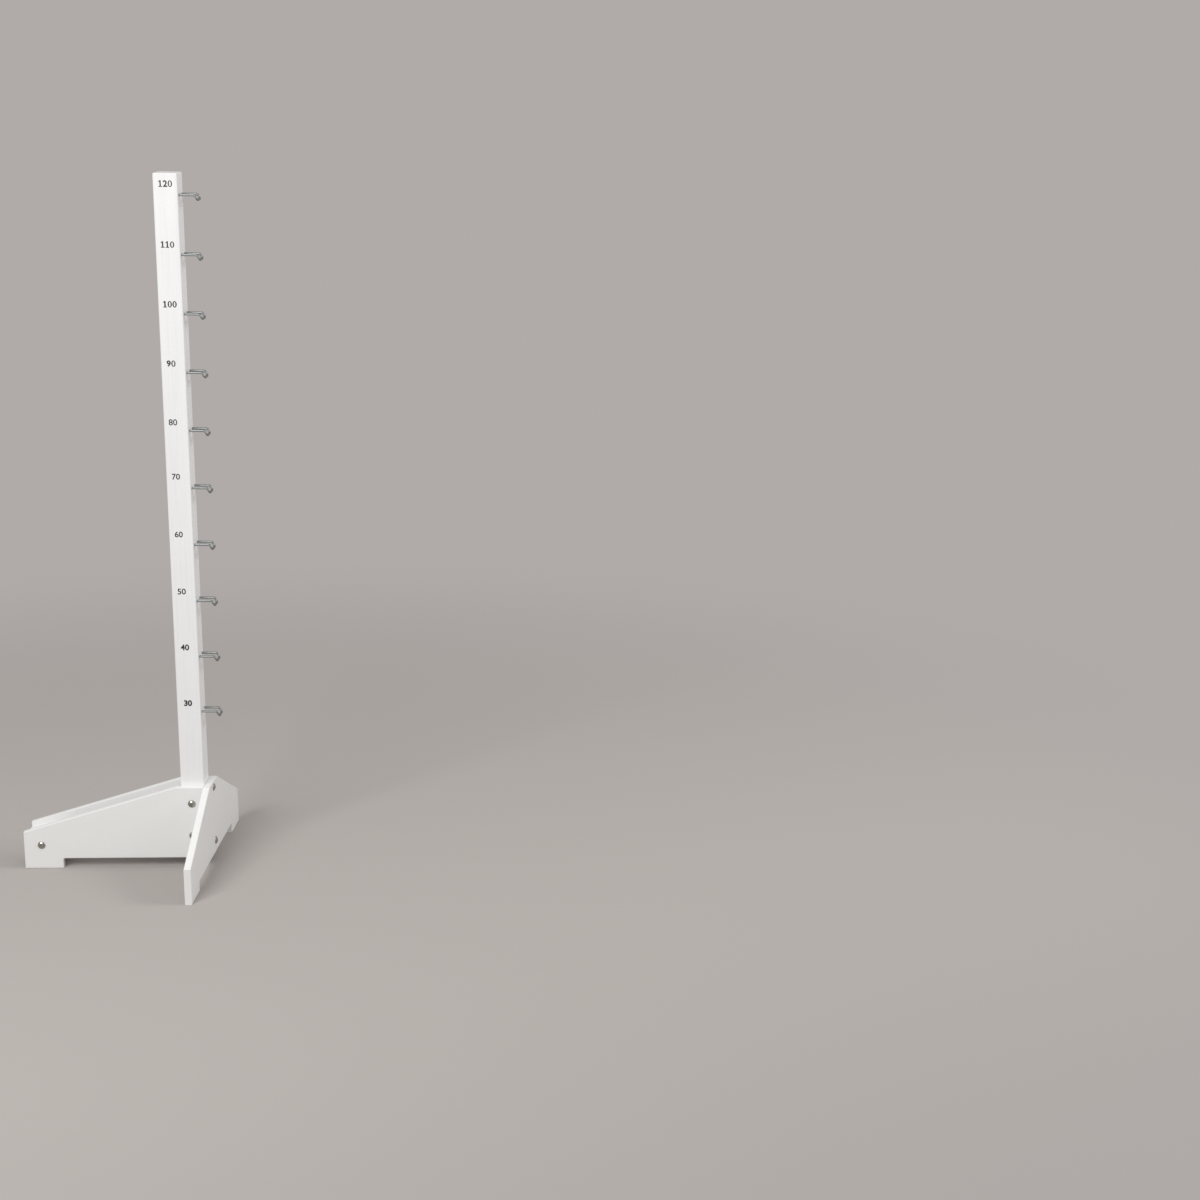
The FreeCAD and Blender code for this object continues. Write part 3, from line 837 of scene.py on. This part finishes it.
# Studio floor paper: matt and even. It is a real surface that takes the shadow near the wing, and
# with the distance it turns for the camera and for reflections into the backdrop's plain grey.
floor_paper, place = new_material("studio_floor_paper")
distance = add_node(
    floor_paper, "ShaderNodeVectorMath", {"operation": "LENGTH"}, {"Vector": place}
)
fade = add_node(
    floor_paper, "ShaderNodeMapRange", {"interpolation_type": "SMOOTHSTEP"},
    {"Value": distance.outputs["Value"], "From Min": FADE_START, "From Max": FADE_END},
)
rays = add_node(floor_paper, "ShaderNodeLightPath", {}, {})
seen_or_mirrored = add_node(
    floor_paper, "ShaderNodeMath", {"operation": "MAXIMUM"},
    {0: rays.outputs["Is Camera Ray"], 1: rays.outputs["Is Glossy Ray"]},
)
faded = add_node(
    floor_paper, "ShaderNodeMath", {"operation": "MULTIPLY"},
    {0: fade.outputs["Result"], 1: seen_or_mirrored.outputs["Value"]},
)
paper = add_node(
    floor_paper, "ShaderNodeBsdfDiffuse", {},
    {"Color": linear(FLOOR_GREY), "Roughness": PAPER_ROUGHNESS},
)
distant = add_node(
    floor_paper, "ShaderNodeEmission", {}, {"Color": linear(DISTANCE_GREY), "Strength": 1.0}
)
paper_or_distant = add_node(
    floor_paper, "ShaderNodeMixShader", {},
    {0: faded.outputs["Value"], 1: paper.outputs["BSDF"], 2: distant.outputs["Emission"]},
)
add_node(
    floor_paper, "ShaderNodeOutputMaterial", {}, {"Surface": paper_or_distant.outputs["Shader"]}
)
bpy.ops.object.select_all(action="DESELECT")
bpy.ops.mesh.primitive_plane_add(size=FLOOR_SIDE, location=(0, 0, 0))
floor = bpy.context.object
floor.name = "studio_floor"
floor.data.materials.append(floor_paper)

world = bpy.data.worlds.new("studio")
bpy.context.scene.world = world
world.use_nodes = True
world.node_tree.nodes.clear()
backdrop = add_node(
    world, "ShaderNodeBackground", {}, {"Color": linear(DISTANCE_GREY), "Strength": 1.0}
)
sky = add_node(
    world, "ShaderNodeBackground", {}, {"Color": linear(SKY_WHITE), "Strength": SKY_STRENGTH}
)
rays = add_node(world, "ShaderNodeLightPath", {}, {})
seen_or_mirrored = add_node(
    world, "ShaderNodeMath", {"operation": "MAXIMUM"},
    {0: rays.outputs["Is Camera Ray"], 1: rays.outputs["Is Glossy Ray"]},
)
sky_or_backdrop = add_node(
    world, "ShaderNodeMixShader", {},
    {0: seen_or_mirrored.outputs["Value"], 1: sky.outputs["Background"],
     2: backdrop.outputs["Background"]},
)
add_node(world, "ShaderNodeOutputWorld", {}, {"Surface": sky_or_backdrop.outputs["Shader"]})


def softbox(name, place, target, size, power):
    """A square area light at a place, turned to a target."""
    light = bpy.data.lights.new(name, "AREA")
    light.shape = "SQUARE"
    light.size = size
    light.energy = power
    lamp = bpy.data.objects.new(name, light)
    bpy.context.collection.objects.link(lamp)
    lamp.location = place
    lamp.rotation_euler = (Vector(target) - Vector(place)).to_track_quat("-Z", "Y").to_euler()


softbox("key_softbox", place=(-0.8, -2.3, 2.0), target=(0, 0, 0.95), size=1.4, power=45)
softbox("fill_softbox", place=(2.7, -0.35, 1.9), target=(0, 0, 0.6), size=1.0, power=27)

# Camera at the photograph's viewing angle. The wing stands near the left edge of a wide square
# picture, so the lens is shifted sideways, by no more than that framing needs. Focal length and
# shift are in picture pixels, the sensor is in millimetres and the place is in metres.
PICTURE_SIDE = 1200
FOCAL_PIXELS = 2450
SENSOR_WIDTH = 36.0
SHIFT_PIXELS = 320
CAMERA_PLACE = Vector((0.8654, -4.2622, 1.5025))
YAW = math.radians(5.651)
PITCH = math.radians(13.38)
ROLL = math.radians(1.464)
camera_data = bpy.data.cameras.new("camera")
camera_data.sensor_width = SENSOR_WIDTH
camera_data.lens = FOCAL_PIXELS / PICTURE_SIDE * SENSOR_WIDTH
camera_data.shift_x = -SHIFT_PIXELS / PICTURE_SIDE
camera = bpy.data.objects.new("camera", camera_data)
bpy.context.collection.objects.link(camera)
forward = Vector((
    math.sin(YAW) * math.cos(PITCH), math.cos(YAW) * math.cos(PITCH), -math.sin(PITCH)
))
right = Vector((math.cos(YAW), -math.sin(YAW), 0))
up = right.cross(forward)
rolled_right = right * math.cos(ROLL) + up * math.sin(ROLL)
rolled_up = up * math.cos(ROLL) - right * math.sin(ROLL)
camera.matrix_world = Matrix((
    (rolled_right.x, rolled_up.x, -forward.x, CAMERA_PLACE.x),
    (rolled_right.y, rolled_up.y, -forward.y, CAMERA_PLACE.y),
    (rolled_right.z, rolled_up.z, -forward.z, CAMERA_PLACE.z),
    (0, 0, 0, 1),
))
bpy.context.scene.camera = camera
bpy.context.scene.view_settings.view_transform = "Standard"
